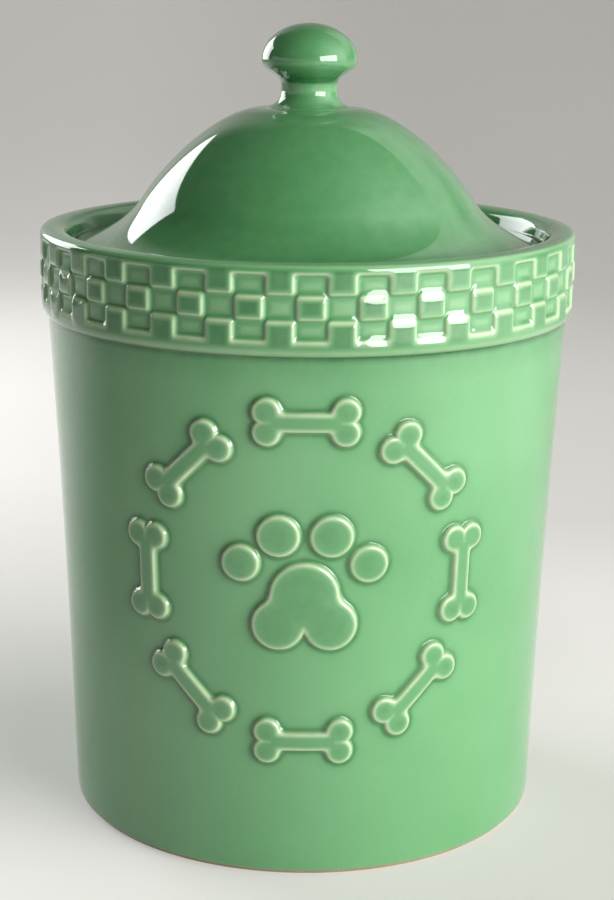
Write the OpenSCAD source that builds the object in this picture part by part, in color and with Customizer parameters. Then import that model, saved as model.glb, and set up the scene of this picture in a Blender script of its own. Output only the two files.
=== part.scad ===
// Ceramic treat canister: a tapering jar with a checker rim band, and a drop-in domed lid with a knob.
// Millimetres, +Z up. The origin is the centre of the foot on the table. The front faces -Y.

/* [Jar] */
// Outside diameter of the rim band
rim_d = 172; // [160:1:186]
// Height of the rim above the table
jar_h = 191.3; // [180:0.1:205]
// How far the rim band stands out from the wall under it
band_step = 2.1; // [1.8:0.1:3]
// How much the wall's radius shrinks from the band down to the foot
wall_taper = 6.6; // [2:0.1:9]
// How far the middle of the wall bows inward from a straight taper
wall_bow = 0.7; // [0:0.05:1]
// Thickness of the wall
wall_t = 6.5; // [5:0.5:8]
// Thickness of the floor over the hollow of the foot
floor_t = 6.5; // [5:0.5:9]
// Radius of the corner between the wall and the floor inside
floor_fillet = 7; // [4:0.5:10]

/* [Foot] */
// How far the foot is set in from the wall above it
foot_inset = 1.7; // [0.8:0.1:2.5]
// Height of the bare edge between the table and the wall
foot_edge_h = 1.6; // [1.2:0.1:2.5]
// Width of the ring that stands on the table
foot_ring_w = 9; // [6:0.5:14]
// Depth of the hollow inside the foot ring
foot_hollow = 2.5; // [1.5:0.5:4]

/* [Rim band] */
// Plain lip above the checks
lip_top_h = 3.2; // [3:0.1:5]
// Height of the upper and the lower row of checks
row_end_h = 5.8; // [5:0.1:7]
// Height of the middle row of checks
row_mid_h = 7.2; // [6:0.1:8.5]
// Plain lip below the checks
lip_low_h = 5.1; // [4:0.1:6]
// Number of raised checks in each row
checks = 30; // [24:1:36]
// Share of each step round the band that is sunk
sunk_share = 0.52; // [0.515:0.005:0.6]
// Depth of a sunk check
check_depth = 1.1; // [0.8:0.1:1.6]
// Turn of the checks from the front centre, in degrees
check_turn = 0.8; // [0:0.1:6]
// Radius of the lip's gentle curve outside
lip_lean_r = 7.5; // [5:0.5:10]
// Slope at which the lip's curve turns into the edge of the rim, in degrees
lip_lean_deg = 15; // [10:1:20]
// Radius of the outer edge of the rim
rim_edge_r = 1.5; // [1:0.1:2.2]
// Radius of the inner edge of the rim
rim_round = 3.2; // [2:0.1:3.6]
// Height of the rounding under the band
band_round_h = 4.4; // [2:0.1:5]

/* [Lid seat] */
// Thickness of the rim above the ledge
rim_t = 9; // [7.5:0.5:10]
// Depth of the ledge below the rim
seat_depth = 9; // [8:0.5:12]
// Width of the ledge that carries the lid
ledge_w = 8; // [7:0.5:9.5]
// Thickness of the ledge at its inner edge
ledge_t = 5; // [4:0.5:7]
// Drop of the slope under the ledge
ledge_slope = 9; // [7:0.5:12]

/* [Lid] */
// Gap between the flange and the rim round it
flange_gap = 1.5; // [1:0.25:3]
// Height of the flange's upright edge
flange_h = 2.6; // [2:0.1:3.5]
// Gap between the locating ring and the mouth
ring_gap = 1.5; // [1:0.25:2.5]
// Depth of the locating ring below the ledge
ring_h = 9; // [6:0.5:12]
// Thickness of the locating ring
ring_t = 5; // [4:0.5:6]
// Height of the crown above the ledge
crown_h = 46.3; // [44:0.1:52]
// Thickness of the dome
dome_t = 5.5; // [4.5:0.5:6.5]
// Steepest slope of the flank, in degrees
flank_deg = 58.5; // [50:0.5:60]
// Slope of the flare where it meets the flange, in degrees
flare_deg = 14; // [10:1:20]
// Distance in from the flange at which the flank turns into the flare
flare_in = 22; // [20:0.1:25]
// Height above the ledge at which the flank turns into the flare
flare_h = 17.2; // [16.5:0.1:19]

/* [Knob] */
// Diameter of the knob's head
knob_d = 30.4; // [28:0.1:34]
// Height of the knob above the crown
knob_h = 26.3; // [24:0.1:28]
// Height of the domed top of the head
head_top_h = 11.3; // [10:0.1:12.5]
// Radius of the rounded edge of the head
head_edge_r = 3.8; // [2.4:0.1:4.4]
// Slope of the underside of the head, in degrees
under_deg = 34; // [28:1:38]
// Radius of the turn from the underside into the neck
neck_turn_r = 3.1; // [1.6:0.1:3.8]
// Diameter of the neck
neck_d = 17.9; // [16:0.1:20]
// Height of the cove between the neck and the foot
foot_cove_h = 5.2; // [3:0.1:6]
// Diameter of the knob's foot, where it is stuck to the crown
knob_foot_d = 28.6; // [24:0.2:32]
// Diameter of the vent from the dome into the knob
vent_d = 4; // [3:0.25:4]

/* [Medallion] */
// Height of the medallion's centre above the table
medallion_z = 95; // [90:1:98]
// Radius of the ring of bones
bone_ring_r = 50; // [46:0.5:51]
// Number of bones in the ring
bones = 8; // [5:1:8]
// Distance between the centres of a bone's ends
bone_len = 22.4; // [18:0.2:24]
// Radius of the four lobes of a bone
lobe_r = 4.2; // [3.6:0.1:4.6]
// Width of a bone's shaft
shaft_w = 6; // [4:0.2:7]
// Size of the paw print, as the radius of its main pad
paw_r = 13; // [10:0.5:14]
// Height of the relief above the wall
relief_h = 1.7; // [1:0.1:2]

/* [Hidden] */
$fn = 96;

glaze = [0.52, 0.74, 0.55];
full_turn = 360;
front_deg = 270;
curve_n = 12;
wall_n = 10;
corner_n = 6;

// Jar
rim_r = rim_d / 2;
band_h = lip_top_h + 2 * row_end_h + row_mid_h + lip_low_h;
band_z = jar_h - band_h;
wall_top_r = rim_r - band_step;
wall_low_r = wall_top_r - wall_taper;
wall_z = foot_edge_h;
foot_r = wall_low_r - foot_inset;
foot_in_r = foot_r - foot_ring_w;
foot_bevel = 1;
floor_z = foot_hollow + floor_t;
rim_in_r = rim_r - rim_t;
lean_z = jar_h - lip_lean_r * sin(lip_lean_deg) - rim_edge_r * (1 - sin(lip_lean_deg));
rim_edge_x = rim_r - rim_edge_r - (lip_lean_r - rim_edge_r) * (1 - cos(lip_lean_deg));
seat_z = jar_h - seat_depth;
mouth_r = rim_in_r - ledge_w;
ledge_low_z = seat_z - ledge_t;
slope_z = ledge_low_z - ledge_slope;

// Checks
pitch_deg = full_turn / checks;
sunk_deg = pitch_deg * sunk_share;
raised_deg = pitch_deg - sunk_deg;
row_low_z = band_z + lip_low_h;
row_mid_z = row_low_z + row_end_h;
row_top_z = row_mid_z + row_mid_h;
cutter_over = 1;

// Lid
flange_r = rim_in_r - flange_gap;
ring_r = mouth_r - ring_gap;
ring_in_r = ring_r - ring_t;
crown_z = seat_z + crown_h;
knob_foot_r = knob_foot_d / 2;
turn_r = flange_r - flare_in;
turn_z = seat_z + flare_h;
crown_pull = 14.6;
flank_pull = 12.6;
turn_pull = 8;
edge_pull = 8.6;
edge_round = 0.9;

// Knob
knob_r = knob_d / 2;
neck_r = neck_d / 2;
knob_top_z = crown_z + knob_h;
head_z = knob_top_z - head_top_h;
edge_in_r = knob_r - head_edge_r * (1 - sin(under_deg));
edge_in_z = head_z - head_edge_r * cos(under_deg);
turn_in_r = neck_r + neck_turn_r * (1 - sin(under_deg));
turn_in_z = edge_in_z - (edge_in_r - turn_in_r) * tan(under_deg);
neck_turn_z = turn_in_z - neck_turn_r * cos(under_deg);
foot_rim_h = 0.4;
neck_min_h = 0.3;
cove_h = min(foot_cove_h, neck_turn_z - crown_z - foot_rim_h - neck_min_h);
knob_vent_h = knob_h / 2;

// Medallion
mean_r = wall_r(medallion_z);
lobe_out = 3.1;
relief_root = 1.5;
prism_h = 20;
medallion_half = bone_ring_r + lobe_out + lobe_r + relief_root;
toe_r = paw_r * 0.5;
toe_up = paw_r * 1.18;
toe_out = paw_r * 0.6;
side_toe_r = paw_r * 0.45;
side_toe_up = paw_r * 0.5;
side_toe_out = paw_r * 1.46;
heel_r = paw_r * 0.62;
heel_out = paw_r * 0.6;
heel_down = paw_r * 0.95;
pad_r = paw_r * 0.8;
pad_down = paw_r * 0.55;

// Radius of the outside of the wall at height z
function wall_r(z) =
    let (t = (z - wall_z) / (band_z - wall_z))
    wall_low_r + wall_taper * t - 4 * wall_bow * t * (1 - t);

// Heights that divide a stretch of the wall evenly
function steps(from, to, n) = [for (i = [0 : n]) from + (to - from) * i / n];

// Points of an elliptic arc about [r, z], from angle a to angle b
function arc(r, z, half_w, half_h, a, b, n) =
    [for (t = steps(a, b, n)) [r + half_w * cos(t), z + half_h * sin(t)]];

// Point at t of a cubic curve from a to d, drawn toward b and c
function cubic(a, b, c, d, t) =
    pow(1 - t, 3) * a + 3 * t * pow(1 - t, 2) * b + 3 * t * t * (1 - t) * c + pow(t, 3) * d;

// Direction of a slope that falls outward by an angle
function falling(deg) = [cos(deg), -sin(deg)];

crown_edge = [knob_foot_r, crown_z];
turn_point = [turn_r, turn_z];
flange_edge = [flange_r - edge_round, seat_z + flange_h + edge_round];

// Outside of the dome from the crown down to the flare, d below the surface
function dome_top(d) = [for (t = steps(0, 1, curve_n))
    cubic(crown_edge - [0, d],
          crown_edge + [crown_pull, -d],
          turn_point - flank_pull * falling(flank_deg) - d * outward(flank_deg),
          turn_point - d * outward(flank_deg), t)];

// Outside of the dome from the flare out to the flange
dome_flare = [for (t = steps(0, 1, curve_n))
    cubic(turn_point,
          turn_point + turn_pull * falling(flank_deg),
          flange_edge - edge_pull * falling(flare_deg),
          flange_edge, t)];

// Direction out of a surface that falls outward by an angle
function outward(deg) = [sin(deg), cos(deg)];

// The points of a list in the other order
function back(list) = [for (i = [len(list) - 1 : -1 : 0]) list[i]];

jar_outline = concat(
    [[0, foot_hollow], [foot_in_r - foot_bevel, foot_hollow], [foot_in_r, 0], [foot_r, 0]],
    [for (z = steps(wall_z, band_z, wall_n)) [wall_r(z), z]],
    arc(wall_top_r, band_z + band_round_h, band_step, band_round_h, -90, 0, corner_n),
    arc(rim_r - lip_lean_r, lean_z, lip_lean_r, lip_lean_r, 0, lip_lean_deg, corner_n),
    arc(rim_edge_x, jar_h - rim_edge_r, rim_edge_r, rim_edge_r, lip_lean_deg, 90, corner_n),
    arc(rim_in_r + rim_round, jar_h - rim_round, rim_round, rim_round, 90, 180, corner_n),
    [[rim_in_r, seat_z], [mouth_r, seat_z], [mouth_r, ledge_low_z]],
    [for (z = steps(slope_z, floor_z + floor_fillet, wall_n)) [wall_r(z) - wall_t, z]],
    arc(wall_r(floor_z) - wall_t - floor_fillet, floor_z + floor_fillet,
        floor_fillet, floor_fillet, 0, -90, corner_n),
    [[0, floor_z]]);

dome_outline = concat(
    [[vent_d / 2, crown_z]],
    dome_top(0),
    dome_flare,
    [[flange_r, seat_z + flange_h], [flange_r, seat_z]],
    [[ring_r, seat_z], [ring_r, seat_z - ring_h], [ring_in_r, seat_z - ring_h], [ring_in_r, seat_z]],
    back(dome_top(dome_t)),
    [[vent_d / 2, crown_z - dome_t]]);

knob_outline = concat(
    [[vent_d / 2, crown_z], [knob_foot_r, crown_z]],
    arc(knob_foot_r, crown_z + foot_rim_h + cove_h, knob_foot_r - neck_r, cove_h, 270, 180, corner_n),
    arc(neck_r + neck_turn_r, neck_turn_z, neck_turn_r, neck_turn_r, 180, 90 + under_deg, corner_n),
    arc(knob_r - head_edge_r, head_z, head_edge_r, head_edge_r, under_deg - 90, 0, corner_n),
    arc(0, head_z, knob_r, head_top_h, 0, 90, curve_n),
    [[0, crown_z + knob_vent_h], [vent_d / 2, crown_z + knob_vent_h]]);

// One row of sunk checks as a ring of cutters
module sunk_row(z, h, turn) {
    for (i = [0 : checks - 1])
        rotate([0, 0, front_deg + check_turn + turn + raised_deg / 2 + i * pitch_deg])
            rotate_extrude(angle = sunk_deg)
                translate([rim_r - check_depth, z])
                    square([check_depth + cutter_over, h]);
}

module sunk_checks() {
    sunk_row(row_low_z, row_end_h, pitch_deg / 2);
    sunk_row(row_mid_z, row_mid_h, 0);
    sunk_row(row_top_z, row_end_h, pitch_deg / 2);
}

// A bone lying along X
module bone_shape() {
    square([bone_len, shaft_w], center = true);
    for (sx = [-1, 1], sy = [-1, 1])
        translate([sx * bone_len / 2, sy * lobe_out])
            circle(r = lobe_r);
}

module paw_shape() {
    translate([0, -pad_down + heel_r / 2])
        circle(r = pad_r);
    for (s = [-1, 1]) {
        translate([s * heel_out, -heel_down])
            circle(r = heel_r);
        translate([s * toe_out, toe_up])
            circle(r = toe_r);
        translate([s * side_toe_out, side_toe_up])
            circle(r = side_toe_r);
    }
}

// Sets a flat shape on the front of the wall, u along the wall and v above the medallion's centre
module on_wall(u, v) {
    rotate([0, 0, u / mean_r * full_turn / (2 * PI)])
        translate([0, -(mean_r - prism_h / 2), medallion_z + v])
            rotate([90, 0, 0])
                linear_extrude(height = prism_h)
                    children();
}

module relief_skin() {
    z_list = steps(medallion_z - medallion_half, medallion_z + medallion_half, wall_n);
    rotate_extrude()
        polygon(concat(
            [for (z = z_list) [wall_r(z) + relief_h, z]],
            back([for (z = z_list) [wall_r(z) - relief_root, z]])));
}

module medallion() {
    intersection() {
        relief_skin();
        union() {
            on_wall(0, 0)
                paw_shape();
            for (i = [0 : bones - 1])
                on_wall(bone_ring_r * sin(i * full_turn / bones), bone_ring_r * cos(i * full_turn / bones))
                    rotate(-i * full_turn / bones)
                        bone_shape();
        }
    }
}

module jar() {
    color(glaze)
        union() {
            difference() {
                rotate_extrude()
                    polygon(jar_outline);
                sunk_checks();
            }
            medallion();
        }
}

module lid_dome() {
    color(glaze)
        rotate_extrude()
            polygon(dome_outline);
}

module lid_knob() {
    color(glaze)
        rotate_extrude()
            polygon(knob_outline);
}

jar();
lid_dome();
lid_knob();
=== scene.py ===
import math

import bpy
import numpy as np
from mathutils import Matrix, Vector
from mathutils.geometry import delaunay_2d_cdt


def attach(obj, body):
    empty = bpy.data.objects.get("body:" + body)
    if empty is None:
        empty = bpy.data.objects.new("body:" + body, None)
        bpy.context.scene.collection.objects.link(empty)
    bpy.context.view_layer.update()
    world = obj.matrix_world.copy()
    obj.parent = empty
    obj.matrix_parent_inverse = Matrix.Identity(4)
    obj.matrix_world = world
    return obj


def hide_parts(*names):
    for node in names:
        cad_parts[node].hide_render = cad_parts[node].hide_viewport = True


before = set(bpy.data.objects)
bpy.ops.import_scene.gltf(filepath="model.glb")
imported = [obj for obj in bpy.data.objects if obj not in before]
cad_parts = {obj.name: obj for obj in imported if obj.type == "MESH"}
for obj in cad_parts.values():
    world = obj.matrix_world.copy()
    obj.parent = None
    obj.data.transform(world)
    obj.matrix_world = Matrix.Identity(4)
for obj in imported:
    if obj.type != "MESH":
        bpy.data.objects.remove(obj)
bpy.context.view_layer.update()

MM = 0.001
TURN = 2 * math.pi

# Sizes in millimetres, the same as in the solids
RIM_R, JAR_H = 86.0, 191.3
BAND_STEP, WALL_TAPER, WALL_BOW, WALL_T = 2.1, 6.6, 0.7, 6.5
FLOOR_Z, FLOOR_FILLET = 9.0, 7.0
FOOT_EDGE_H, FOOT_INSET, FOOT_RING_W, FOOT_HOLLOW = 1.6, 1.7, 9.0, 2.5
LIP_TOP, ROW_END, ROW_MID, LIP_LOW = 3.2, 5.8, 7.2, 5.1
CHECKS, SUNK_SHARE, CHECK_DEPTH, CHECK_TURN = 30, 0.52, 1.1, math.radians(0.8)
RIM_ROUND, BAND_ROUND = 3.2, 4.4
LIP_LEAN_R, LIP_LEAN, RIM_EDGE_R = 7.5, 15.0, 1.5
RIM_T, SEAT_DEPTH, LEDGE_W, LEDGE_T, LEDGE_SLOPE = 9.0, 9.0, 8.0, 5.0, 9.0
FLANGE_GAP, FLANGE_H, EDGE_ROUND = 1.5, 2.6, 0.9
RING_GAP, RING_H, RING_T = 1.5, 9.0, 5.0
CROWN_H, DOME_T, FLANK, FLARE = 46.3, 5.5, math.radians(58.5), math.radians(14)
FLARE_IN, FLARE_H = 22.0, 17.2
CROWN_PULL, FLANK_PULL, TURN_PULL, EDGE_PULL = 14.6, 12.6, 8.0, 8.6
KNOB_R, KNOB_H, HEAD_TOP_H, HEAD_EDGE_R, UNDER_DEG = 15.2, 26.3, 11.3, 3.8, 34.0
NECK_R, NECK_TURN_R, KNOB_FOOT_R, FOOT_COVE_H = 8.95, 3.1, 14.3, 5.2
VENT_R = 2.0
MEDALLION_Z, BONE_RING_R, BONES = 95.0, 50.0, 8
BONE_LEN, LOBE_R, LOBE_OUT, SHAFT_W, PAW_R = 22.4, 4.2, 3.1, 6.0, 13.0

BAND_Z = JAR_H - (LIP_TOP + 2 * ROW_END + ROW_MID + LIP_LOW)
WALL_TOP_R = RIM_R - BAND_STEP
WALL_LOW_R = WALL_TOP_R - WALL_TAPER
FOOT_R = WALL_LOW_R - FOOT_INSET
FOOT_IN_R = FOOT_R - FOOT_RING_W
RIM_IN_R = RIM_R - RIM_T
SEAT_Z = JAR_H - SEAT_DEPTH
MOUTH_R = RIM_IN_R - LEDGE_W
FLANGE_R = RIM_IN_R - FLANGE_GAP
RING_R = MOUTH_R - RING_GAP
CROWN_Z = SEAT_Z + CROWN_H
ROW_Z = np.cumsum([BAND_Z + LIP_LOW, ROW_END, ROW_MID, ROW_END])
LEAN_COS, LEAN_SIN = math.cos(math.radians(LIP_LEAN)), math.sin(math.radians(LIP_LEAN))

# The top of the rim is crowned between its two edges, which meet it at an angle
CROWNED = 76.0
CROWN_COS, CROWN_SIN = math.cos(math.radians(CROWNED)), math.sin(math.radians(CROWNED))
rim_flat = RIM_T - LIP_LEAN_R + (LIP_LEAN_R - RIM_EDGE_R) * LEAN_COS - RIM_ROUND
RIM_TOP_R = rim_flat / (2 * CROWN_COS) + (RIM_EDGE_R + RIM_ROUND) / 2
RIM_MID = RIM_IN_R + RIM_ROUND + (RIM_TOP_R - RIM_ROUND) * CROWN_COS
RIM_EDGE_X = RIM_MID + (RIM_TOP_R - RIM_EDGE_R) * CROWN_COS
RIM_EDGE_Z = JAR_H - RIM_TOP_R + (RIM_TOP_R - RIM_EDGE_R) * CROWN_SIN
RIM_INNER_Z = JAR_H - RIM_TOP_R + (RIM_TOP_R - RIM_ROUND) * CROWN_SIN
LEAN_Z = RIM_EDGE_Z - (LIP_LEAN_R - RIM_EDGE_R) * LEAN_SIN


def wall_r(z):
    """Outer radius of the tapering wall, which is slightly hollow."""
    t = (z - FOOT_EDGE_H) / (BAND_Z - FOOT_EDGE_H)
    return WALL_LOW_R + WALL_TAPER * t - 4 * WALL_BOW * t * (1 - t)


MEAN_R = wall_r(MEDALLION_Z)


def ease(a, b, x):
    """A soft step from 0 at a to 1 at b."""
    t = np.clip((x - a) / (b - a), 0, 1)
    return t * t * (3 - 2 * t)


def bump(x, centre, width):
    """A soft hump of height 1."""
    return np.exp(-(((x - centre) / width) ** 2))


# Outlines of revolution
def rounded(corners, step=9):
    """(r, z) points of an outline whose corners [r, z, radius] are rounded, one point per step degrees."""
    out = []
    for i, (r, z, radius) in enumerate(corners):
        p = np.array([r, z])
        if not radius or i in (0, len(corners) - 1):
            out.append(p)
            continue
        a = np.array(corners[i - 1][:2]) - p
        b = np.array(corners[i + 1][:2]) - p
        la, lb = np.linalg.norm(a), np.linalg.norm(b)
        a, b = a / la, b / lb
        half = math.acos(np.clip(a @ b, -1, 1)) / 2
        if half > math.pi / 2 - 1e-3:
            out.append(p)
            continue
        cut = min(radius / math.tan(half), 0.49 * la, 0.49 * lb)
        radius = cut * math.tan(half)
        centre = p + (a + b) / np.linalg.norm(a + b) * radius / math.sin(half)
        start, end = p + a * cut - centre, p + b * cut - centre
        span = math.pi - 2 * half
        turn = math.copysign(span, start[0] * end[1] - start[1] * end[0])
        n = max(2, math.ceil(math.degrees(span) / step))
        for k in range(n + 1):
            c, s = math.cos(turn * k / n), math.sin(turn * k / n)
            out.append(centre + [c * start[0] - s * start[1], s * start[0] + c * start[1]])
    return np.array(out)


def arc(r, z, half_w, half_h, a, b, n):
    """n pieces of an ellipse about (r, z), from a to b degrees."""
    t = np.radians(np.linspace(a, b, n + 1))
    return np.stack([r + half_w * np.cos(t), z + half_h * np.sin(t)], 1)


def cubic(a, b, c, d, n):
    """n pieces of a cubic curve from a to d, pulled towards b and c."""
    t = np.linspace(0, 1, n + 1)[:, None]
    a, b, c, d = (np.array(p, float) for p in (a, b, c, d))
    return (1 - t) ** 3 * a + 3 * t * (1 - t) ** 2 * b + 3 * t * t * (1 - t) * c + t**3 * d


def refine(points, longest):
    """The same outline with no piece longer than longest and no point twice."""
    out = [points[0]]
    for p in points[1:]:
        gap = np.linalg.norm(p - out[-1])
        if gap < 1e-4:
            continue
        n = math.ceil(gap / longest)
        out += [out[-1] + (p - out[-1]) * k / n for k in range(1, n + 1)] if n > 1 else [p]
    return np.array(out)


# How glaze follows the bend of an outline (radians per mm), which is measured in fine steps and spread out
BEND_STEP, BEND_SPREAD = 0.2, 0.8
THIN_FROM, THIN_GAIN, THIN_MOST = 0.42, 1.5, 0.8
POOL_GAIN, POOL_MOST = 1.1, 0.55


def thickness(points):
    """(thin, pool) along an outline: glaze runs thin on tight outer corners and pools in inner ones."""
    d = np.diff(points, axis=0)
    s = np.concatenate([[0], np.cumsum(np.hypot(d[:, 0], d[:, 1]))])
    heading = np.unwrap(np.arctan2(d[:, 1], d[:, 0]))
    fine = np.arange(0, s[-1], BEND_STEP)
    angle = np.interp(fine, (s[1:] + s[:-1]) / 2, heading)
    bend = np.gradient(angle, fine)
    kernel = bump(np.arange(-3 * BEND_SPREAD, 3 * BEND_SPREAD + BEND_STEP / 2, BEND_STEP), 0, BEND_SPREAD)
    padded = np.pad(bend, len(kernel) // 2, mode="edge")
    bend = np.convolve(padded, kernel / kernel.sum(), "valid")[: len(fine)]
    bend = np.interp(s, fine, bend)
    return np.clip(THIN_GAIN * (bend - THIN_FROM), 0, THIN_MOST), np.clip(-POOL_GAIN * bend, 0, POOL_MOST)


class Solid:
    """A mesh made of rings about the Z axis. Angle 0 is the front, and angles grow to the right."""

    # The first argument is painted shade, added to the pool of every point to darken the whole piece
    def __init__(self, shade_all_over=0.0):
        self.shade_all_over = shade_all_over
        self.xyz, self.faces, self.looks, self.slots, self.count = [], [], [], [], 0

    def add(self, theta, r, z, thin=0.0, pool=0.0):
        """Points in mm with the look of the glaze there, whose pool includes painted shade. Returns their
        numbers.
        """
        theta, r, z, thin, pool = np.broadcast_arrays(theta, r, z, thin, pool)
        self.xyz.append(np.stack([r * np.sin(theta), -r * np.cos(theta), z], 1) * MM)
        self.looks.append(np.clip(np.stack([thin, pool + self.shade_all_over], 1), 0, 1))
        first = self.count
        self.count += len(theta)
        return np.arange(first, self.count)

    def join(self, a, b, slot=0):
        """Faces between two rings, which may have different numbers of points."""
        if len(a) == len(b):
            new = np.stack([a, np.roll(a, -1), np.roll(b, -1), b], 1).tolist()
        else:
            new = self.stitch(a, b)
        self.faces += new
        self.slots += [slot] * len(new)

    def stitch(self, a, b):
        """Triangles between two rings, each of which goes on along the ring that is behind."""
        out, i, j = [], 0, 0
        while i < len(a) or j < len(b):
            up_a = (i + 1) / len(a) if i < len(a) else 2
            up_b = (j + 1) / len(b) if j < len(b) else 2
            ai, bj = int(a[i % len(a)]), int(b[j % len(b)])
            if up_a <= up_b:
                out.append([ai, int(a[(i + 1) % len(a)]), bj])
                i += 1
            else:
                out.append([ai, int(b[(j + 1) % len(b)]), bj])
                j += 1
        return out

    def cap(self, ring, z, down=False):
        """Closes a ring with a fan to one point on the axis."""
        tip = int(self.add([0.0], [0.0], [z])[0])
        pairs = zip(ring.tolist(), np.roll(ring, -1).tolist())
        fan = [[q, p, tip] if down else [p, q, tip] for p, q in pairs]
        self.faces += fan
        self.slots += [0] * len(fan)

    def lathe(self, points, theta, first=None, slot=0, shift=None):
        """Rings along an outline. shift(theta, z) gives (outward, thin, pool) to add at each point."""
        thin, pool = thickness(points)
        ring = first
        for k, (r, z) in enumerate(points):
            if k == 0 and first is not None:
                continue
            out, more_thin, more_pool = shift(theta, np.full_like(theta, z)) if shift else (0, 0, 0)
            new = self.add(theta, r + out, z, thin[k] + more_thin, pool[k] + more_pool)
            if ring is not None:
                self.join(ring, new, slot)
            ring = new
        return ring

    def build(self, name, body, materials, node):
        """The finished object, which rides a body and replaces a node of the frame."""
        mesh = bpy.data.meshes.new(name)
        mesh.from_pydata(np.concatenate(self.xyz).tolist(), [], self.faces)
        looks = np.concatenate(self.looks)
        # The pool attribute holds pooled glaze and painted shade
        for k, label in enumerate(("thin", "pool")):
            layer = mesh.attributes.new(label, "FLOAT", "POINT")
            layer.data.foreach_set("value", looks[:, k].astype(np.float32))
        for m in materials:
            mesh.materials.append(m)
        mesh.polygons.foreach_set("material_index", self.slots)
        mesh.polygons.foreach_set("use_smooth", [True] * len(mesh.polygons))
        mesh.validate()
        mesh.update()
        ob = bpy.data.objects.new(name, mesh)
        bpy.context.scene.collection.objects.link(ob)
        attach(ob, body)
        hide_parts(node)


# Relief on the front: a paw print in a ring of bones, on the unrolled wall (u along it, v up)
BONE_BLEND, PAD_BLEND, LIP_BLEND = 1.6, 3.0, 1.2

# The paw, as shares of PAW_R: its pad, the two heels of the pad, and its toes (out, up, radius)
PAD, PAD_DOWN = 0.8, 0.55
HEEL, HEEL_OUT, HEEL_DOWN = 0.62, 0.6, 0.95
INNER_TOE, OUTER_TOE = (0.6, 1.18, 0.5), (1.46, 0.5, 0.45)


def soft_min(a, b, k):
    """The smaller of two distances, blended where they differ by less than k."""
    h = np.clip(k - np.abs(a - b), 0, None) / k
    return np.minimum(a, b) - h * h * k / 4


def disc(u, v, cu, cv, r):
    return np.hypot(u - cu, v - cv) - r


def bone(u, v):
    qu, qv = np.abs(u) - BONE_LEN / 2, np.abs(v) - SHAFT_W / 2
    shaft = np.hypot(np.maximum(qu, 0), np.maximum(qv, 0)) + np.minimum(np.maximum(qu, qv), 0)
    lobes = disc(np.abs(u), np.abs(v), BONE_LEN / 2, LOBE_OUT, LOBE_R)
    return soft_min(shaft, lobes, BONE_BLEND)


def pad(u, v):
    heels = disc(np.abs(u), v, HEEL_OUT * PAW_R, -HEEL_DOWN * PAW_R, HEEL * PAW_R)
    return soft_min(disc(u, v, 0, (HEEL / 2 - PAD_DOWN) * PAW_R, PAD * PAW_R), heels, PAD_BLEND)


def toe(r):
    return lambda u, v: np.hypot(u, v) - r


# Each motif: its shape, centre, turn, and how far above its centre the tracing of its outline starts
MOTIFS = [(pad, 0.0, 0.0, 0.0, 9.0)]
for side in (-1, 1):
    for (out, up, radius), start in ((INNER_TOE, 6.5), (OUTER_TOE, 5.8)):
        MOTIFS.append((toe(radius * PAW_R), side * out * PAW_R, up * PAW_R, 0.0, start))
for k in range(BONES):
    a = TURN * k / BONES
    MOTIFS.append((bone, BONE_RING_R * math.sin(a), BONE_RING_R * math.cos(a), a, 3.0))

# Distances in mm from the outlines at which the wall has rows of points that follow them
LEVELS = (-1.9, -1.4, -1.05, -0.78, -0.55, -0.35, -0.12, 0.12, 0.38, 0.65, 1.0, 1.5, 2.2, 3.2)


def relief_distance(u, v):
    """Distance in mm to the nearest motif's outline, negative inside."""
    best = np.full(np.shape(u), 99.0)
    for shape, cu, cv, turn, _ in MOTIFS:
        du, dv = u - cu, v - cv
        c, s = math.cos(turn), math.sin(turn)
        best = np.minimum(best, shape(c * du - s * dv, s * du + c * dv))
    return best


def outline(shape, start_v, level, step, most=3000):
    """Points of one level line of a shape, traced about its centre."""

    def grad(p, e=1e-3):
        return np.array([shape(p[0] + e, p[1]) - shape(p[0] - e, p[1]),
                         shape(p[0], p[1] + e) - shape(p[0], p[1] - e)]) / (2 * e)

    def settle(p):
        for _ in range(4):
            g = grad(p)
            p = p - (shape(p[0], p[1]) - level) * g / max(g @ g, 1e-6)
        return p

    p = settle(np.array([1e-4, start_v + level]))
    out = [p]
    for n in range(most):
        g = grad(p)
        p = settle(p + step * np.array([-g[1], g[0]]) / max(np.linalg.norm(g), 1e-6))
        if n > 6 and np.linalg.norm(p - out[0]) < 0.6 * step:
            break
        out.append(p)
    return np.array(out)


# Glaze and painted shade under the band, painted shade that darkens the wall towards the foot, and glaze at
# raised edges, as strengths from 0 to 1 and distances in mm
UNDER_LINE, UNDER_LINE_W, UNDER_DARKER, UNDER_DARKER_H = 0.45, 1.1, 0.28, 11.0
LOW_WALL_SHADE, LOW_WALL_SHADE_FULL_Z, LOW_WALL_SHADE_FROM_Z = 0.12, 8.0, 75.0
LINE_AT = -0.45


def pool_and_shade_under_band(z):
    """Glaze that gathers in the corner under the band, with painted shade under its overhang, fading out
    down the wall.
    """
    line = UNDER_LINE * bump(z, BAND_Z - 0.2, UNDER_LINE_W)
    return line + UNDER_DARKER * ease(BAND_Z - UNDER_DARKER_H, BAND_Z - 1, z)


def edge_line(d, outer_w, inner_w):
    """A pale line just inside a raised edge, at distance d from it, with its widths to either side."""
    return bump(d, LINE_AT, np.where(d > LINE_AT, outer_w, inner_w))


RELIEF_RISE, RELIEF_IN, RELIEF_OUT = 1.4, -0.68, 0.62
RELIEF_CROWN, CROWN_REACH = 0.3, 3.0
RELIEF_LINE, RELIEF_GROOVE, RELIEF_HALO, RELIEF_TOP = 0.95, 0.55, 0.22, 0.4


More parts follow.
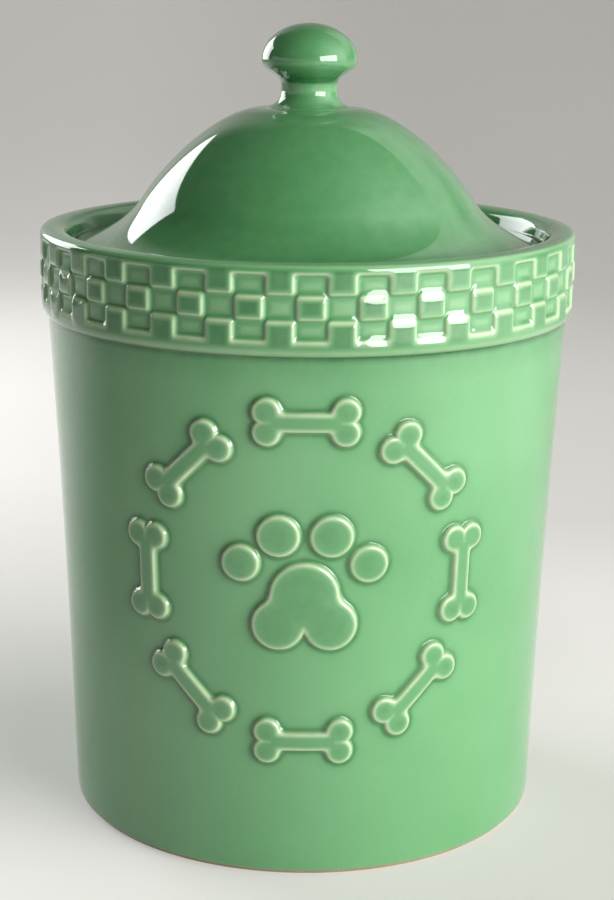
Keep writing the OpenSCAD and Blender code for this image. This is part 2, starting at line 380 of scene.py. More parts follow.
def relief(theta, z):
    """(outward, thin, pool) of the medallion at points of the wall, by their distance from its outlines."""
    theta, z = np.asarray(theta), np.asarray(z)
    d = relief_distance(MEAN_R * theta, z - MEDALLION_Z)
    rise = ease(RELIEF_OUT, RELIEF_IN, d)
    crown = RELIEF_CROWN * (1 - np.exp(np.minimum(d, 0) / CROWN_REACH))
    thin = RELIEF_LINE * edge_line(d, 0.42, 0.62)
    beside = RELIEF_GROOVE * bump(d, 0.85, 0.6) + RELIEF_HALO * ease(4.5, 0.3, d) * ease(-0.2, 0.4, d)
    on_top = RELIEF_TOP * ease(-1.0, -2.6, d)
    # run is the glaze and painted shade under the band, plus painted shade that darkens the wall towards the
    # foot
    run = pool_and_shade_under_band(z) + LOW_WALL_SHADE * ease(LOW_WALL_SHADE_FROM_Z, LOW_WALL_SHADE_FULL_Z, z)
    return RELIEF_RISE * rise + crown, thin, beside + on_top + run


# The checker band
PERIOD = TURN * RIM_R / CHECKS
RAISED = PERIOD * (1 - SUNK_SHARE)
CHECK_CORNER, CHECK_SWELL = 1.2, 0.15
CHECK_EDGE_IN, CHECK_EDGE_OUT = -0.95, 0.75

# Edges that face up slope, more on the right, where glaze ran, and most at the far left, where it fills up
SLOPE_AT, SLOPE_LEAST, SLOPE_RUN, RUN_SIDE = 0.56, 0.3, 1.75, math.radians(25)
SLOPE_DROWNED, DROWNED_FROM, DROWNED_TO = 3.6, math.radians(-49), math.radians(-58)
BACK_FROM = math.radians(125)

# Glaze on the band, as strengths from 0 to 1 and widths in mm, and painted light that keeps the tops of
# raised checks paler on the right, between two angles in radians
CHECK_LINE, CHECK_LINE_W, CHECK_LINE_RUN_W, SWELL_THIN = 0.85, 0.38, 0.45, 0.14
CORNER_POOL, TOP_POOL, TOP_PAINTED_LIGHT, PAINTED_LIGHT_FROM, PAINTED_LIGHT_TO = 0.32, 0.7, 0.3, 0.1, 0.9
LIP_THIN, LIP_POOL = 0.3, 0.18


def block(s, z, half_s, low, high):
    """Distance to a check with rounded corners, negative inside."""
    qs = np.abs(s) - half_s + CHECK_CORNER
    qz = np.abs(z - (low + high) / 2) - (high - low) / 2 + CHECK_CORNER
    return np.hypot(np.maximum(qs, 0), np.maximum(qz, 0)) + np.minimum(np.maximum(qs, qz), 0) - CHECK_CORNER


def band_distance(theta, z):
    """Distance in mm to the edge of the raised part of the band, negative on it."""
    along = RIM_R * (theta - CHECK_TURN)
    mid = (along + PERIOD / 2) % PERIOD - PERIOD / 2
    end = along % PERIOD - PERIOD / 2
    far = 9.0
    d = block(mid, z, RAISED / 2, ROW_Z[1], ROW_Z[2])
    rows = np.minimum(block(end, z, RAISED / 2, ROW_Z[2], ROW_Z[3] + far),
                      block(end, z, RAISED / 2, ROW_Z[0] - far, ROW_Z[1]))
    lips = np.minimum(ROW_Z[3] - z, z - ROW_Z[0])
    return np.minimum(d, soft_min(rows, lips, LIP_BLEND))


def not_back(theta):
    """1 on the front and the sides, and fading out to 0 at the back, where the ends of the band meet."""
    return ease(math.pi, BACK_FROM, np.abs(theta))


def faces_up(theta, z, above=0.9, below=0.3):
    """1 where the nearest edge of the raised part faces up, and 0 where it faces down or sideways."""
    rise = band_distance(theta, z + above) - band_distance(theta, z - below)
    return np.clip(rise / (above + below), 0, 1)


def slope_reach(theta):
    """How far in mm the edges that face up slope, to either side."""
    run = SLOPE_RUN * (0.5 + 0.5 * np.cos(theta - RUN_SIDE)) ** 4
    return SLOPE_LEAST + run + SLOPE_DROWNED * ease(DROWNED_FROM, DROWNED_TO, theta) * not_back(theta)


def checker(theta, z):
    """(outward, thin, pool) of the band at its points: sunk checks, light edges, glaze that ran down,
    painted light on raised tops at the right and painted shade under the band.
    """
    d = band_distance(theta, z)
    up = faces_up(theta, z)
    edge = ease(CHECK_EDGE_IN, CHECK_EDGE_OUT, d)
    slope = np.clip(SLOPE_AT + 0.5 * d / slope_reach(theta), 0, 1)
    sunk = edge + up * (slope - edge)
    swell = CHECK_SWELL * ease(0.5, 2.9, d)
    line = edge_line(d, CHECK_LINE_W, CHECK_LINE_W + CHECK_LINE_RUN_W * up)
    thin = CHECK_LINE * line + SWELL_THIN * ease(1.4, 2.8, d)
    in_corners = CORNER_POOL * ease(2.4, 0.5, d) * ease(-0.15, 0.5, d)
    # Painted light: less darkening on the raised tops towards the right, where the key lamp falls
    less = TOP_PAINTED_LIGHT * ease(PAINTED_LIGHT_FROM, PAINTED_LIGHT_TO, theta) * not_back(theta)
    on_tops = (TOP_POOL - less) * ease(-0.8, -2.4, d)
    on_band = ease(ROW_Z[0] - 3.4, ROW_Z[0] - 1.0, z) * ease(JAR_H - 1.2, JAR_H - 2.6, z)
    lip_thin = LIP_THIN * bump(z, BAND_Z + 1.3, 0.9)
    # Glaze on the lip, and low on the band the glaze and painted shade under it
    lip_pool_and_shade = LIP_POOL * bump(z, JAR_H - 1.9, 0.8) + pool_and_shade_under_band(z) * (z < BAND_Z + 0.6)
    pool = (in_corners + on_tops) * on_band + lip_pool_and_shade
    return (swell - CHECK_DEPTH) * sunk, thin * on_band + lip_thin, pool


# Distances in mm from a check's upright edge at which the band has columns of points
NEAR_EDGE = (0.38, 0.8, 1.35, 2.3)


def band_columns():
    """Angles round the band, close together where a check's edge runs."""
    edge = RAISED / 2
    other = PERIOD / 2 - edge
    half = [0.0, *(edge - x for x in NEAR_EDGE[::-1]), edge, other, *(other + x for x in NEAR_EDGE)]
    full = np.array(half + [PERIOD / 2] + [PERIOD - x for x in half[:0:-1]])
    theta = (np.arange(CHECKS)[:, None] * PERIOD + full[None]).ravel() / RIM_R + CHECK_TURN
    return np.sort(theta) - math.pi


def band_heights():
    """Heights of the rings of the band's upright face, close together where a check's edge runs."""
    near = np.array([-2.3, -1.7, -1.15, -0.75, -0.36, 0.0, 0.36, 0.75, 1.15, 1.7, 2.2])
    z = np.concatenate([row + near for row in ROW_Z] + [[(a + b) / 2] for a, b in zip(ROW_Z, ROW_Z[1:])])
    z = z[(z > BAND_Z + BAND_ROUND) & (z < LEAN_Z)]
    return np.sort(z)


# Jar
COLUMNS = 180
jar = Solid()
theta_band = band_columns()
theta_plain = theta_band[0] + np.arange(COLUMNS) * TURN / COLUMNS

# The wall, unrolled from its seam at the back
wall_foot_z, wall_head_z = FOOT_EDGE_H + 2.2, BAND_Z - 3.4
wall_left, wall_right = theta_band[0] * MEAN_R, theta_band[0] * MEAN_R + TURN * MEAN_R

# Gaps in mm between its points: along the relief's outlines, in the relief's round field and around that
OUTLINE_GAP, FAR_GAP, FAR_FROM = 0.75, 1.1, 1.2
FIELD_GAP, PLAIN_GAP = 2.1, 4.6
FIELD_R, FIELD_MARGIN, OUTLINE_MARGIN = 64.0, 1.5, 1.2
ROW_SHARE, SEAM_POINTS = 0.866, 40
SAME_POINT, LEAST_AREA = 1e-5, 1e-9


def outline_points():
    """Points of the wall that follow the outlines of the relief."""
    points, loops = [], {}
    for shape, cu, cv, turn, start in MOTIFS:
        c, s = math.cos(turn), math.sin(turn)
        for level in LEVELS:
            key = (shape, level)
            if key not in loops:
                gap = OUTLINE_GAP if abs(level) < FAR_FROM else FAR_GAP
                loops[key] = outline(shape, start, level, gap)
            p = loops[key]
            u, v = cu + c * p[:, 0] + s * p[:, 1], cv - s * p[:, 0] + c * p[:, 1]
            keep = np.abs(relief_distance(u, v) - level) < 0.05
            points += list(zip(u[keep], v[keep] + MEDALLION_Z))
    return points


def grid_points(gap, in_field):
    """Staggered rows of points in the field of the relief, or outside it, away from the outlines."""
    points = []
    rows = np.arange(wall_foot_z + 0.8 * gap, wall_head_z - 0.6 * gap, gap * ROW_SHARE)
    for k, z in enumerate(rows):
        u = np.arange(wall_left + gap * (0.6 if k % 2 else 1.1), wall_right - 0.5 * gap, gap)
        out = np.hypot(u, z - MEDALLION_Z)
        u = u[(out < FIELD_R) if in_field else (out >= FIELD_R + FIELD_MARGIN)]
        d = relief_distance(u, np.full_like(u, z - MEDALLION_Z))
        clear = (d > LEVELS[-1] + OUTLINE_MARGIN) | (d < LEVELS[0] - OUTLINE_MARGIN)
        points += [(x, z) for x in u[clear]]
    return points


def triangulate(points, edges):
    """Places, triangles and the number in places of each given point."""
    points = [tuple(map(float, p)) for p in points]
    places, _, triangles, origin, _, _ = delaunay_2d_cdt(points, edges, [], 0, SAME_POINT)
    where = {source: k for k, sources in enumerate(origin) for source in sources}
    return np.array(places), triangles, where


def wall_mesh():
    """The wall as triangles that follow the outlines of the relief. Returns its lowest and highest ring."""
    low = [(t * MEAN_R, wall_foot_z) for t in theta_plain] + [(wall_right, wall_foot_z)]
    high = [(t * MEAN_R, wall_head_z) for t in theta_band] + [(wall_right, wall_head_z)]
    seam = np.linspace(wall_foot_z, wall_head_z, SEAM_POINTS)[1:-1]
    n_low, n_high, n_seam = len(low), len(high), len(seam)
    points = low + high + [(u, z) for u in (wall_left, wall_right) for z in seam]
    points += outline_points() + grid_points(PLAIN_GAP, False) + grid_points(FIELD_GAP, True)
    edges = [(i, i + 1) for i in range(n_low - 1)]
    edges += [(n_low + i, n_low + i + 1) for i in range(n_high - 1)]
    places, triangles, where = triangulate(points, edges)
    theta, z = places[:, 0] / MEAN_R, places[:, 1]
    out, thin, pool = relief(theta, z)
    index = jar.add(theta, wall_r(z) + out, z, thin, pool)

    # The right end of the unrolled wall takes the points of the left end
    first_seam = n_low + n_high
    ends = [(0, n_low - 1), (n_low, first_seam - 1)]
    ends += [(first_seam + k, first_seam + n_seam + k) for k in range(n_seam)]
    for left, right in ends:
        index[where[right]] = index[where[left]]

    for corners in triangles:
        tri = [int(index[k]) for k in corners]
        a, b, c = places[list(corners)]
        area = (b[0] - a[0]) * (c[1] - a[1]) - (c[0] - a[0]) * (b[1] - a[1])
        if abs(area) > LEAST_AREA:
            jar.faces.append(tri if area > 0 else tri[::-1])
            jar.slots.append(0)
    low_ring = index[[where[k] for k in range(n_low - 1)]]
    high_ring = index[[where[n_low + k] for k in range(n_high - 1)]]
    return low_ring, high_ring


wall_low, wall_high = wall_mesh()

# The foot, which is bare from just inside its ring to a little up its outer edge
BARE_IN, BARE_H = 2.2, 0.6
GLAZE_END_THIN, GLAZE_END_POOL = -0.6, 0.1

# Radii of the small fans that close the underside and the floor
UNDER_FAN_R, FLOOR_FAN_R = 0.6, 0.8


def foot_edge(theta, z):
    """(outward, thin, pool) over the bare edge, where the glaze ends thick."""
    return 0.0, GLAZE_END_THIN, GLAZE_END_POOL


under = rounded([
    [UNDER_FAN_R, FOOT_HOLLOW, 0], [FOOT_IN_R - 1, FOOT_HOLLOW, 1.0],
    [FOOT_IN_R, 0.0, 0.5], [FOOT_R, 0.0, 0.4],
    [WALL_LOW_R - 0.25, FOOT_EDGE_H, 0.5], [wall_r(wall_foot_z), wall_foot_z, 0]])
bare_from = int(np.argmax(under[:, 0] > FOOT_IN_R - BARE_IN))
bare_to = int(np.flatnonzero((under[:, 1] < BARE_H) & (under[:, 0] > FOOT_R - 1)).max()) + 1
hollow_path = refine(under[: bare_from + 1], longest=6.0)
bare_path = refine(under[bare_from: bare_to + 1], longest=3.0)
edge_path = refine(under[bare_to:], longest=0.8)[:-1]
first_ring = jar.count + np.arange(COLUMNS)
inner_part = jar.lathe(hollow_path, theta_plain)
foot_part = jar.lathe(bare_path, theta_plain, first=inner_part, slot=1)
edge_part = jar.lathe(edge_path, theta_plain, first=foot_part, shift=foot_edge)
jar.join(edge_part, wall_low)
jar.cap(first_ring, FOOT_HOLLOW, down=True)

# The band, from the wall up to the middle of the rim's top
skirt = np.concatenate([
    rounded([[wall_r(wall_head_z), wall_head_z, 0], [WALL_TOP_R - 0.05, BAND_Z - 0.1, 1.1],
             [WALL_TOP_R + 0.7, BAND_Z + 0.2, 0]], 12),
    arc(WALL_TOP_R, BAND_Z + BAND_ROUND, BAND_STEP, BAND_ROUND, -66, 0, 7),
    [[RIM_R, z] for z in band_heights()],
    arc(RIM_R - LIP_LEAN_R, LEAN_Z, LIP_LEAN_R, LIP_LEAN_R, 0, LIP_LEAN, 5),
    arc(RIM_EDGE_X, RIM_EDGE_Z, RIM_EDGE_R, RIM_EDGE_R, LIP_LEAN, CROWNED, 6),
    arc(RIM_MID, JAR_H - RIM_TOP_R, RIM_TOP_R, RIM_TOP_R, CROWNED, 90, 4)])
band_top = jar.lathe(refine(skirt, longest=1.2), theta_band, first=wall_high, shift=checker)

# The inside, from the rim's top to the floor. The rim leans a little there, but leaves the flange free
SEAT_LEAN = 11.0
# Painted shade inside the rim, from just under its top down to the seat
SEAT_SHADE_FROM, SEAT_SHADE_FULL = JAR_H - 1.6, JAR_H - 5.0
MIDDLE_Z = (120, 70)
LEDGE_END_Z = SEAT_Z - LEDGE_T - LEDGE_SLOPE
inner_edge = arc(RIM_IN_R + RIM_ROUND, RIM_INNER_Z, RIM_ROUND, RIM_ROUND, 180 - CROWNED, 180 - SEAT_LEAN, 10)
seat_r = inner_edge[-1][0] - (inner_edge[-1][1] - SEAT_Z) * math.tan(math.radians(SEAT_LEAN))


def inner_r(z):
    """Inner radius of the wall."""
    return wall_r(z) - WALL_T


inside = refine(np.concatenate([
    arc(RIM_MID, JAR_H - RIM_TOP_R, RIM_TOP_R, RIM_TOP_R, 90, 180 - CROWNED, 4),
    inner_edge,
    rounded([[inner_edge[-1][0], inner_edge[-1][1], 0], [seat_r, SEAT_Z, 0.7], [MOUTH_R, SEAT_Z, 0.8],
             [MOUTH_R, SEAT_Z - LEDGE_T, 1.6], [inner_r(LEDGE_END_Z), LEDGE_END_Z, 6.0],
             *([inner_r(z), z, 0] for z in MIDDLE_Z),
             [inner_r(FLOOR_Z), FLOOR_Z, FLOOR_FILLET], [FLOOR_FAN_R, FLOOR_Z, 0]])]), longest=7.0)


def seat_shade(theta, z):
    """(outward, thin, pool) of the inside: painted shade on the inner wall of the rim, between it and the
    lid, with glaze gathered in the seat of the lid.
    """
    return 0.0, 0.0, ease(SEAT_SHADE_FROM, SEAT_SHADE_FULL, z) * ease(SEAT_Z - 1.0, SEAT_Z, z)


ring = jar.add(theta_plain, inside[1][0], inside[1][1])
jar.join(band_top, ring)
ring = jar.lathe(inside[1:], theta_plain, first=ring, shift=seat_shade)
jar.cap(ring, FLOOR_Z)


# Materials
class Nodes:
    """A material with short calls for the nodes that are used here."""

    def __init__(self, name):
        self.material = bpy.data.materials.new(name)
        self.material.use_nodes = True
        self.tree = self.material.node_tree
        self.shader = self.tree.nodes["Principled BSDF"]
        self.place = self.tree.nodes.new("ShaderNodeTexCoord").outputs["Object"]

    def feed(self, node, key, value):
        """Links a socket to an input, or sets the input to a plain value."""
        target = node.inputs[key]
        if isinstance(value, bpy.types.NodeSocket):
            self.tree.links.new(value, target)
        else:
            target.default_value = value

    def math(self, operation, a, b=0.0, clamp=False):
        node = self.tree.nodes.new("ShaderNodeMath")
        node.operation, node.use_clamp = operation, clamp
        self.feed(node, 0, a)
        self.feed(node, 1, b)
        return node.outputs[0]

    def chain(self, operation, value, *others):
        """One operation over several values in a row."""
        for other in others:
            value = self.math(operation, value, other)
        return value

    def mix(self, factor, a, b):
        node = self.tree.nodes.new("ShaderNodeMix")
        node.data_type = "RGBA"
        for k, value in ((0, factor), (6, a), (7, b)):
            self.feed(node, k, value)
        return node.outputs[2]

    def ramp(self, value, low, high, to_low=0.0, to_high=1.0):
        """A straight ramp from to_low at low to to_high at high, level beyond them."""
        node = self.tree.nodes.new("ShaderNodeMapRange")
        keys = ("Value", "From Min", "From Max", "To Min", "To Max")
        for key, x in zip(keys, (value, low, high, to_low, to_high)):
            self.feed(node, key, x)
        return node.outputs[0]

    def noise(self, scale, detail):
        node = self.tree.nodes.new("ShaderNodeTexNoise")
        for key, value in (("Vector", self.place), ("Scale", scale), ("Detail", detail)):
            self.feed(node, key, value)
        return node.outputs["Fac"]

    def attribute(self, name):
        node = self.tree.nodes.new("ShaderNodeAttribute")
        node.attribute_name = name
        return node.outputs["Fac"]

    def axes(self):
        """The place on the object along X, Y and Z, in metres."""
        node = self.tree.nodes.new("ShaderNodeSeparateXYZ")
        self.feed(node, 0, self.place)
        return node.outputs

    def seen(self):
        """1 for rays from the camera, a mirror or a glass, and 0 for rays that light other things."""
        path = self.tree.nodes.new("ShaderNodeLightPath").outputs
        mirrored = self.math("ADD", path["Is Glossy Ray"], path["Is Transmission Ray"])
        return self.math("ADD", path["Is Camera Ray"], mirrored, True)

    def uneven(self, height, strength, distance):
        """A fine unevenness of the surface."""
        node = self.tree.nodes.new("ShaderNodeBump")
        for key, value in (("Height", height), ("Strength", strength), ("Distance", distance)):
            self.feed(node, key, value)
        self.feed(self.shader, "Normal", node.outputs["Normal"])


def rgb(r, g, b):
    """A screen colour, 0 to 255, as linear light."""
    parts = [c / 255 for c in (r, g, b)]
    return tuple(c / 12.92 if c <= 0.04045 else ((c + 0.055) / 1.055) ** 2.4 for c in parts) + (1.0,)


def glaze():
    """Green glaze, cloudy and finely speckled, that is deep where it pools and pale where it runs thin; its
    pool also carries painted shade in the same deep green.
    """
    n = Nodes("green_glaze")
    green, light_green, speck = rgb(104, 172, 113), rgb(118, 184, 126), rgb(146, 200, 146)
    pooled_and_shaded_green, pale = rgb(46, 118, 60), rgb(214, 234, 190)
    cloud, patch, grain = n.noise(16, 3), n.noise(210, 3), n.noise(1400, 2)
    body = n.mix(n.ramp(cloud, 0.35, 0.68), green, light_green)
    body = n.mix(n.ramp(grain, 0.35, 0.75, 0.0, 0.1), body, speck)
    # Deep green where the glaze pools and where shade is painted into the pool attribute
    pooled_and_shaded = n.math("MULTIPLY", n.attribute("pool"), n.ramp(patch, 0.25, 0.75, 0.8, 1.15), True)
    body = n.mix(pooled_and_shaded, body, pooled_and_shaded_green)
    bare = n.math("MULTIPLY", n.attribute("thin"), n.ramp(patch, 0.3, 0.7, 0.75, 1.05), True)
    body = n.mix(bare, body, pale)
    n.feed(n.shader, "Base Color", body)
    n.feed(n.shader, "Roughness", n.ramp(patch, 0.3, 0.7, 0.035, 0.065))
    n.feed(n.shader, "IOR", 1.7)
    ripple = n.math("MULTIPLY", n.noise(520, 2), 0.03)
    n.uneven(n.math("ADD", n.noise(48, 2), ripple), 0.02, 0.001)
    return n.material


def stoneware():
    """Bare cream clay with darker grains."""
    n = Nodes("bare_stoneware")
    clay, light_clay, dark_grain = rgb(178, 165, 132), rgb(200, 188, 156), rgb(138, 121, 92)
    patch, grain = n.noise(120, 4), n.noise(2200, 3)
    body = n.mix(patch, clay, light_clay)
    body = n.mix(n.ramp(grain, 0.4, 0.7, 0.0, 0.4), body, dark_grain)
    n.feed(n.shader, "Base Color", body)
    n.feed(n.shader, "Roughness", n.ramp(grain, 0.3, 0.7, 0.7, 0.92))
    n.uneven(grain, 0.5, 0.0003)
    return n.material


GLAZE, STONEWARE = glaze(), stoneware()
jar.build("jar_glazed", "jar", [GLAZE, STONEWARE], "jar")

# Lid, painted a deeper green than the jar all over: painted shade, as it faces up, away from the low lamps.
# Its dome turns outward into the flange
LID_PAINTED_SHADE = 0.42
falling = np.array([math.cos(FLANK), -math.sin(FLANK)])
outward = np.array([math.sin(FLANK), math.cos(FLANK)])
crown_edge = np.array([KNOB_FOOT_R, CROWN_Z])
turn_point = np.array([FLANGE_R - FLARE_IN, SEAT_Z + FLARE_H])
flange_edge = np.array([FLANGE_R - EDGE_ROUND, SEAT_Z + FLANGE_H + EDGE_ROUND])
flare = np.array([math.cos(FLARE), -math.sin(FLARE)])


def dome_top(depth, n=40):
    """The dome's outline from the knob's foot to where it turns, at a depth under its outside."""
    down = np.array([0, depth])
    return cubic(crown_edge - down, crown_edge + [CROWN_PULL, -depth],
                 turn_point - FLANK_PULL * falling - depth * outward, turn_point - depth * outward, n)


ring_in_r = RING_R - RING_T
under_dome = dome_top(DOME_T)
bottom = rounded([
    [under_dome[-1][0], under_dome[-1][1], 0], [ring_in_r, SEAT_Z, 1.5], [ring_in_r, SEAT_Z - RING_H, 1.6],
    [RING_R - 0.2, SEAT_Z - RING_H, 1.6], [RING_R, SEAT_Z, 0.5], [FLANGE_R, SEAT_Z, 0.7],
    [FLANGE_R, SEAT_Z + FLANGE_H, 0.5], [flange_edge[0], flange_edge[1], 0]])
turn_pull, edge_pull = turn_point + TURN_PULL * falling, flange_edge - EDGE_PULL * flare
lid_flare = cubic(turn_point, turn_pull, edge_pull, flange_edge, 30)
lid = Solid(shade_all_over=LID_PAINTED_SHADE)
theta_lid = np.arange(COLUMNS) * TURN / COLUMNS
lid_path = np.concatenate([
    [[VENT_R, CROWN_Z - DOME_T]], under_dome, bottom,
    lid_flare[::-1], dome_top(0)[::-1], [[VENT_R, CROWN_Z]]])
end_ring = lid.lathe(refine(lid_path, longest=3.0), theta_lid)
lid.join(end_ring, np.arange(COLUMNS))
lid.build("lid_dome_glazed", "lid", [GLAZE], "lid_dome")

# Knob, with less of the lid's painted shade on its neck, more glaze at its foot and painted shade under its
# head
KNOB_COLUMNS, FOOT_LIP = 144, 0.06
NECK_LESS_SHADE, KNOB_FOOT_POOL, UNDER_HEAD_SHADE = 0.3, 0.1, 0.4
under_angle = math.radians(UNDER_DEG)
head_z = CROWN_Z + KNOB_H - HEAD_TOP_H
edge_in_r = KNOB_R - HEAD_EDGE_R * (1 - math.sin(under_angle))
edge_in_z = head_z - HEAD_EDGE_R * math.cos(under_angle)
turn_in_r = NECK_R + NECK_TURN_R * (1 - math.sin(under_angle))
under_h = (edge_in_r - turn_in_r) * math.tan(under_angle)
neck_turn_z = edge_in_z - under_h - NECK_TURN_R * math.cos(under_angle)
knob = Solid(shade_all_over=LID_PAINTED_SHADE)
knob_path = np.concatenate([
    [[VENT_R, CROWN_Z + KNOB_H / 2], [VENT_R, CROWN_Z], [KNOB_FOOT_R, CROWN_Z]],
    arc(KNOB_FOOT_R, CROWN_Z + FOOT_LIP + FOOT_COVE_H, KNOB_FOOT_R - NECK_R, FOOT_COVE_H, 270, 180, 14),
    arc(NECK_R + NECK_TURN_R, neck_turn_z, NECK_TURN_R, NECK_TURN_R, 180, 90 + UNDER_DEG, 8),
    arc(KNOB_R - HEAD_EDGE_R, head_z, HEAD_EDGE_R, HEAD_EDGE_R, UNDER_DEG - 90, 0, 10),
    arc(0, head_z, KNOB_R, HEAD_TOP_H, 0, 87, 34)])
theta_knob = np.arange(KNOB_COLUMNS) * TURN / KNOB_COLUMNS


def knob_glaze_and_shade(theta, z):
    """(outward, thin, pool) of the knob: its foot runs out on the crown, with no thin edge there. Under its
    head it has painted shade, and its neck has less of the painted shade.
    """
    foot = ease(CROWN_Z + 2.2, CROWN_Z + 0.5, z)
    neck = ease(neck_turn_z + 1.5, neck_turn_z - 0.5, z)
    under_head_shade = bump(z, neck_turn_z + 2.4, 1.9)
    return 0.0, -foot, -NECK_LESS_SHADE * neck + KNOB_FOOT_POOL * foot + UNDER_HEAD_SHADE * under_head_shade


end_ring = knob.lathe(refine(knob_path, longest=1.2), theta_knob, shift=knob_glaze_and_shade)
knob.cap(end_ring, CROWN_Z + KNOB_H)
knob.cap(np.arange(KNOB_COLUMNS), CROWN_Z + KNOB_H / 2, down=True)
knob.build("lid_knob_glazed", "lid", [GLAZE], "lid_knob")


# Floor and backdrop in one sweep, with pale screens far off. Sizes in metres
STAGE_R = 9.0
FLAT_FRONT, FLAT_BACK, SWEEP_R, SWEEP_TOP, SWEEP_DEG = -2.4, 1.0, 0.9, 3.2, 6
SCREEN_H, SCREEN_BACK, SCREEN_RIGHT, SCREEN_GLOW = 1.7, 1.9, 4.0, 0.42
GLOW_COLOUR = (255, 255, 253)

# Soft patches of light on the sweep, and a painted shadow beside the object on the left. Each is a product
# of ramps: axis, from, to, and the values there
GLOW = {
    "all over": [("Y", 0.6, 1.6, 0.26, 0.12)],
    "left": [("X", -0.2, 0.05, 0.14, 0.0), ("Y", 0.8, 1.4, 1.0, 0.35)],
    "upright, left": [("X", -0.7, -0.36, 0.3, 0.0), ("Z", 0.0, 0.3, 0.0, 1.0)],
    "right": [("X", 0.36, 1.0, 0.0, 0.5), ("Z", 0.05, 0.4, 1.0, 0.6)],
    "right, high up": [("X", 0.36, 1.0, 0.0, 0.5), ("Z", 1.0, 1.8, 0.0, 1.1)],
    "behind, left": [
        ("Y", 0.15, 0.4, 0.0, 1.0), ("Y", 0.6, 1.1, 0.12, 0.02), ("X", -0.2, 0.1, 1.0, 0.0)],
    "near, right": [("X", 0.16, 0.5, 0.0, 0.5), ("Y", 0.05, 0.4, 1.0, 0.0)],
    "close by, right": [
        ("X", 0.04, 0.12, 0.0, 0.1), ("Y", 0.0, 0.08, 0.0, 1.0), ("Y", 0.2, 0.32, 1.0, 0.0)],
    # A little painted light in front, then painted shadow on the floor beside the jar on the left
    "painted shadow close by, left": [
        ("Y", -0.08, 0.0, 0.07, -0.08), ("Y", 0.06, 0.16, 1.0, 0.0), ("X", -0.1, 0.0, 1.0, 0.0)],
}


def stage(name, verts, faces, material, smooth=False):
    """A piece of the studio that is no part of the object."""
    mesh = bpy.data.meshes.new(name)
    mesh.from_pydata(verts, [], faces)
    mesh.polygons.foreach_set("use_smooth", [smooth] * len(faces))
    mesh.materials.append(material)
    ob = bpy.data.objects.new(name, mesh)
    bpy.context.scene.collection.objects.link(ob)


def lit_share(n, at):
    """How far the sweep is pale, 0 to 1: it is dim at its sides, high up and at the front on the left."""
    low_right = n.math("MAXIMUM", n.ramp(at["X"], 1.2, 2.2, 1.0, 0.4), n.ramp(at["Z"], 0.7, 1.5))
    high = n.math("MAXIMUM", n.ramp(at["Z"], 0.8, 2.8, 1.0, 0.2), n.ramp(at["X"], 0.5, 1.2, 0.0, 0.8))
    upright = n.chain("MULTIPLY", n.ramp(at["X"], -1.3, -0.85), low_right, high)
    lit = n.math("MAXIMUM", upright, n.ramp(at["Z"], 0.1, 0.5, 1.0, 0.0))
    corner = n.chain("MULTIPLY", n.ramp(at["X"], -0.15, -0.32), n.ramp(at["Y"], 0.25, 0.0), 0.35)
    return n.math("MULTIPLY", lit, n.math("SUBTRACT", 1.0, corner))


def paper():
    """Pale paper, which dims to grey, with soft patches of light that only show and light nothing."""
    n = Nodes("backdrop")
    at = n.axes()
    pale = n.mix(n.ramp(n.noise(3, 2), 0.3, 0.7), rgb(206, 203, 198), rgb(211, 208, 203))
    pale = n.mix(n.ramp(at["Z"], 0.05, 0.9), pale, rgb(191, 188, 183))
    lit = lit_share(n, at)
    n.feed(n.shader, "Base Color", n.mix(lit, rgb(74, 73, 71), pale))
    n.feed(n.shader, "Roughness", 0.75)
    n.feed(n.shader, "Specular IOR Level", 0.2)
    n.feed(n.shader, "Emission Color", rgb(*GLOW_COLOUR))
    patches = [n.chain("MULTIPLY", *(n.ramp(at[axis], *ramp) for axis, *ramp in ramps))
               for ramps in GLOW.values()]
    glow = n.chain("ADD", *patches)
    n.feed(n.shader, "Emission Strength", n.chain("MULTIPLY", glow, lit, n.seen()))
    return n.material


def sweep():
    """A flat floor that bends up into an upright backdrop."""
    profile = [(-STAGE_R, 0.0), (FLAT_FRONT, 0.0), (FLAT_BACK, 0.0)]
    for a in np.radians(np.arange(SWEEP_DEG, 91, SWEEP_DEG)):
        profile.append((FLAT_BACK + SWEEP_R * math.sin(a), SWEEP_R - SWEEP_R * math.cos(a)))
    profile.append((FLAT_BACK + SWEEP_R, SWEEP_TOP))
    verts = [(x, y, z) for y, z in profile for x in (-STAGE_R, STAGE_R)]
    faces = [(2 * i, 2 * i + 1, 2 * i + 3, 2 * i + 2) for i in range(len(profile) - 1)]
    stage("backdrop", verts, faces, paper(), smooth=True)


def screens():
    """Low pale screens far off on the left and at the front."""
    n = Nodes("screen")
    n.feed(n.shader, "Base Color", n.mix(n.noise(2, 2), rgb(188, 187, 184), rgb(194, 193, 190)))
    n.feed(n.shader, "Roughness", 0.8)
    n.feed(n.shader, "Emission Color", rgb(*GLOW_COLOUR))
    n.feed(n.shader, "Emission Strength", n.math("MULTIPLY", n.seen(), SCREEN_GLOW))
    foot = [(-STAGE_R, SCREEN_BACK), (-STAGE_R, -STAGE_R), (SCREEN_RIGHT, -STAGE_R)]
    verts = [(x, y, z) for x, y in foot for z in (0.0, SCREEN_H)]
    stage("screens", verts, [(0, 1, 3, 2), (2, 3, 5, 4)], n.material)


sweep()
screens()

# Light: a broad lamp to the right of the camera, a window behind on the left and a soft glow from the right
AIM = Vector((0.0, 0.0, 0.16))
WARM, COOL = (1.0, 0.99, 0.97), (0.98, 0.99, 1.0)
ROOM_GLOW_FROM, ROOM_GLOW_FOCUS, ROOM_GLOW, ROOM_DIM = (75, 12), 3.5, 2.35, 0.015


def direction(azimuth, elevation):
    """Unit vector to a light, with azimuth 0 at the front and growing to the right, in degrees."""
    az, el = math.radians(azimuth), math.radians(elevation)
    return Vector((math.cos(el) * math.sin(az), -math.cos(el) * math.cos(az), math.sin(el)))


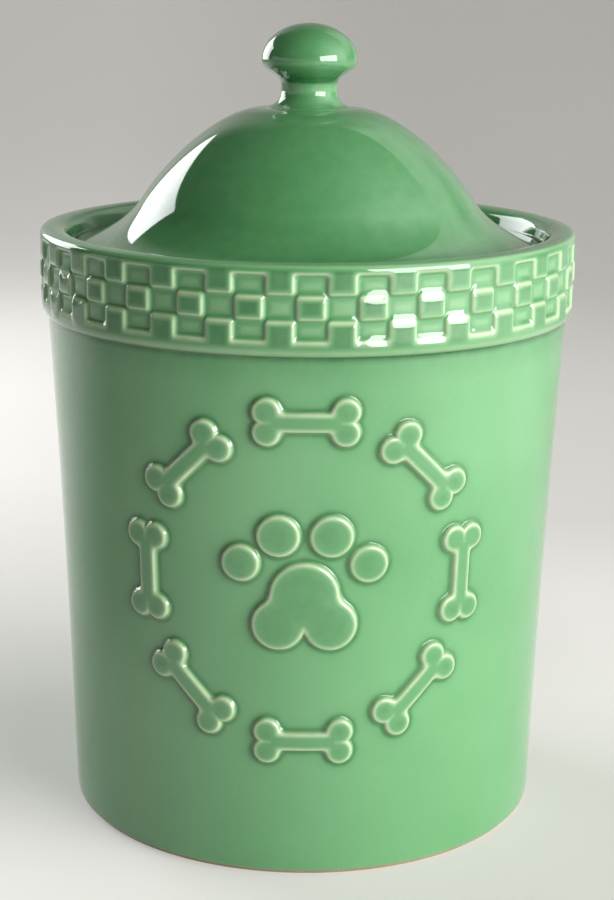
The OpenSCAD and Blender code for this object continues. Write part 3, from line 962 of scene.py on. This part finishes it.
def lamp(name, azimuth, elevation, distance, size, power, colour, spread=180):
    """A rectangular lamp that faces the object, with its spread in degrees."""
    data = bpy.data.lights.new(name, "AREA")
    data.spread = math.radians(spread)
    data.shape = "RECTANGLE"
    data.size, data.size_y = size
    data.energy, data.color = power, colour
    ob = bpy.data.objects.new(name, data)
    bpy.context.scene.collection.objects.link(ob)
    toward = direction(azimuth, elevation)
    ob.location = AIM + distance * toward
    ob.rotation_euler = toward.to_track_quat("Z", "Y").to_euler()
    ob.visible_camera = False


lamp("key", azimuth=47, elevation=12.5, distance=1.3, size=(1.02, 0.5), power=14.2, colour=WARM)
lamp("window", azimuth=-133, elevation=16, distance=1.3, size=(0.84, 0.70), power=4.0, colour=COOL,
     spread=110)


def room():
    """A dim room that glows softly from the right."""
    world = bpy.data.worlds.new("room")
    world.use_nodes = True
    tree = world.node_tree
    background = tree.nodes["Background"]
    coords = tree.nodes.new("ShaderNodeTexCoord")
    dot = tree.nodes.new("ShaderNodeVectorMath")
    dot.operation = "DOT_PRODUCT"
    dot.inputs[1].default_value = direction(*ROOM_GLOW_FROM)
    tree.links.new(coords.outputs["Generated"], dot.inputs[0])
    last = dot.outputs["Value"]
    steps = (("MAXIMUM", 0.0), ("POWER", ROOM_GLOW_FOCUS), ("MULTIPLY", ROOM_GLOW), ("ADD", ROOM_DIM))
    for operation, value in steps:
        node = tree.nodes.new("ShaderNodeMath")
        node.operation = operation
        tree.links.new(last, node.inputs[0])
        node.inputs[1].default_value = value
        last = node.outputs[0]
    tree.links.new(last, background.inputs["Strength"])
    background.inputs["Color"].default_value = (*WARM, 1.0)
    bpy.context.scene.world = world


room()

# Camera, fitted to the outlines of the rim, the band, the wall and the foot
CAMERA = (0.0, -628.8, 275.3)
PITCH, ROLL = math.radians(14.22), math.radians(0.59)
FOCAL_PX, CENTRE_X, WIDE, TALL = 1950.0, 305.6, 614, 900
SENSOR = 36.0
data = bpy.data.cameras.new("camera")
data.sensor_width, data.lens = SENSOR, FOCAL_PX / TALL * SENSOR
data.shift_x = (WIDE / 2 - CENTRE_X) / TALL
camera = bpy.data.objects.new("camera", data)
bpy.context.scene.collection.objects.link(camera)
camera.matrix_world = (Matrix.Translation([c * MM for c in CAMERA])
                       @ Matrix.Rotation(math.pi / 2 - PITCH, 4, "X") @ Matrix.Rotation(ROLL, 4, "Z"))
bpy.context.scene.camera = camera
bpy.context.scene.view_settings.view_transform = "Standard"
